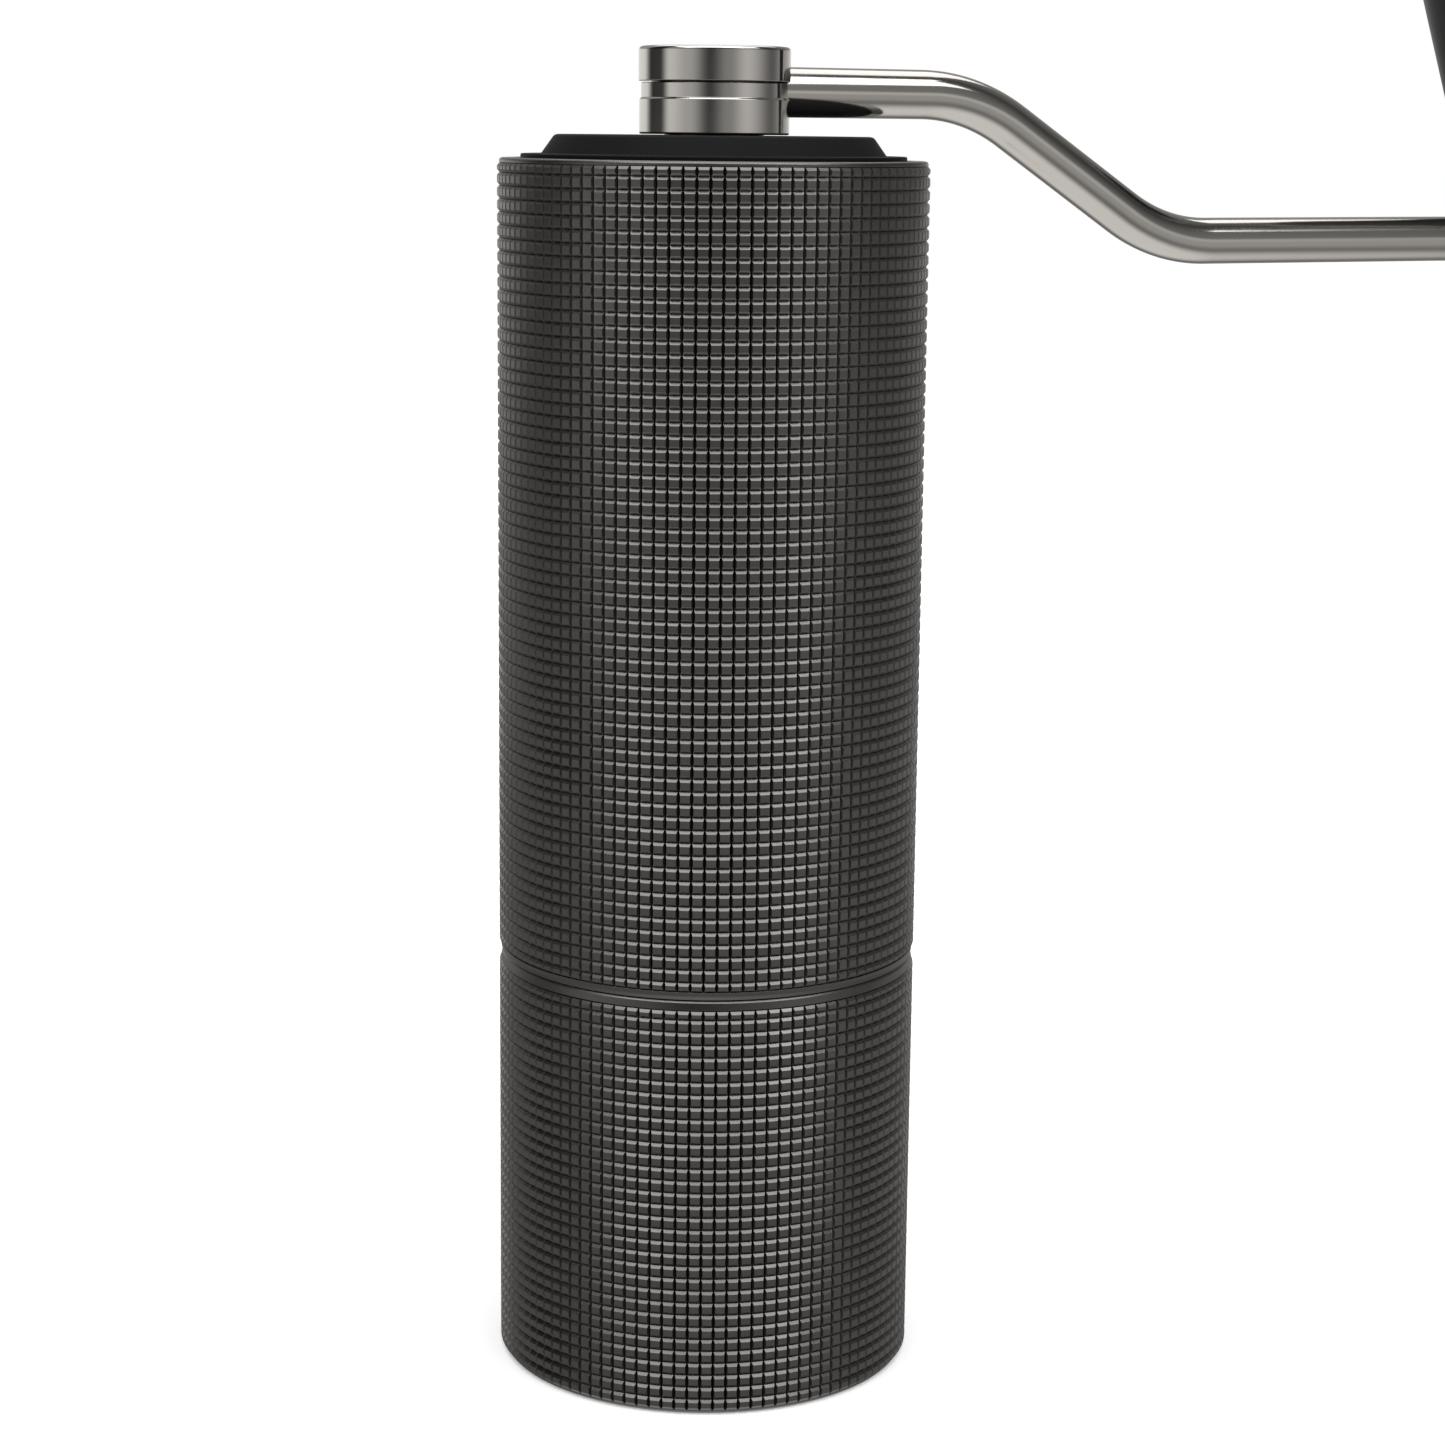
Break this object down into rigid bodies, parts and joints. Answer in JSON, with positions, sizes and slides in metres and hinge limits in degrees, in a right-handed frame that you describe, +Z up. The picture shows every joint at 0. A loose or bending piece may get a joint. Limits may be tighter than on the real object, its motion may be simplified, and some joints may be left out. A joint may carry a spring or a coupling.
{
  "type": "hand crank coffee grinder",
  "caption": "Slim hand crank coffee grinder: knurled metal barrel and screw-on catch cup, lift-off lid with a bent steel crank, tapered knob, and conical burrs on an adjustable shaft inside.",
  "frame": {"origin": "centre of the catch cup's flat base, on the surface the grinder stands on", "axes": "+Z up along the crank axis, +X along the crank arm towards the knob"},
  "size_m": [0.1647, 0.052, 0.1857],
  "materials": {
    "anodised_aluminium": "dark grey anodised, knurled",
    "stainless_steel": "polished",
    "burr_steel": "ground",
    "plain_steel": "bright",
    "bearing_steel": "polished",
    "frame_plastic": "matte black",
    "lid_plastic": "matte black",
    "knob_plastic": "satin black",
    "bush_brass": "turned",
    "gasket_rubber": "matte"
  },
  "bodies": {
    "housing": {"body_shell": "anodised_aluminium", "hopper_liner": "frame_plastic", "burr_carrier": "frame_plastic", "lower_bridge": "frame_plastic", "ring_burr": "burr_steel", "ring_burr_screws": "plain_steel", "upper_bearing_outer": "bearing_steel", "upper_bearing_balls": "bearing_steel", "upper_bearing_shields": "bearing_steel", "lower_bearing_outer": "bearing_steel", "lower_bearing_balls": "bearing_steel", "lower_bearing_shields": "bearing_steel"},
    "lid": {"lid": "lid_plastic"},
    "crank": {"crank_hub": "stainless_steel", "crank_cap": "stainless_steel", "crank_arm": "stainless_steel", "lid_washer": "plain_steel", "hub_circlip": "plain_steel", "knob_axle": "stainless_steel"},
    "knob": {"knob": "knob_plastic", "knob_bush": "bush_brass", "knob_plug": "knob_plastic"},
    "shaft": {"drive_shaft": "stainless_steel", "upper_bearing_inner": "bearing_steel", "lower_bearing_inner": "bearing_steel", "spring_washer": "plain_steel", "burr_spring": "plain_steel"},
    "burr": {"inner_burr": "burr_steel", "click_plate": "plain_steel"},
    "dial": {"adjust_dial": "frame_plastic", "dial_nut": "bush_brass", "detent_balls": "bearing_steel", "detent_springs": "plain_steel"},
    "cup_seat": {"cup_gasket": "gasket_rubber"},
    "cup": {"catch_cup": "anodised_aluminium"}
  },
  "joints": [
    {"name": "lid_lift", "type": "slide", "parent": "housing", "child": "lid", "axis": [0, 0, 1], "range_m": [0, 0.06]},
    {"name": "crank_turn", "type": "hinge", "parent": "lid", "child": "crank", "pos_m": [0, 0, 0.15], "axis": [0, 0, 1], "continuous": true},
    {"name": "knob_spin", "type": "hinge", "parent": "crank", "child": "knob", "pos_m": [0.124, 0, 0.16], "axis": [0, 0, 1], "continuous": true},
    {"name": "shaft_turn", "type": "hinge", "parent": "housing", "child": "shaft", "pos_m": [0, 0, 0.1], "axis": [0, 0, 1], "continuous": true},
    {"name": "burr_gap", "type": "slide", "parent": "shaft", "child": "burr", "axis": [0, 0, -1], "range_m": [0, 0.003], "deforming": ["burr_spring"]},
    {"name": "dial_turn", "type": "hinge", "parent": "burr", "child": "dial", "pos_m": [0, 0, 0.038], "axis": [0, 0, -1], "range_deg": [0, 1080]},
    {"name": "cup_drop", "type": "slide", "parent": "housing", "child": "cup_seat", "axis": [0, 0, -1], "range_m": [0, 0.0252]},
    {"name": "cup_turn", "type": "hinge", "parent": "cup_seat", "child": "cup", "pos_m": [0, 0, 0.025], "axis": [0, 0, -1], "range_deg": [0, 3780]}
  ],
  "couplings": [
    {"joint": "shaft_turn", "follows": "crank_turn", "ratio": 1},
    {"joint": "dial_turn", "follows": "burr_gap", "rad_per_m": 6283.2},
    {"joint": "cup_turn", "follows": "cup_drop", "rad_per_m": 2618}
  ]
}
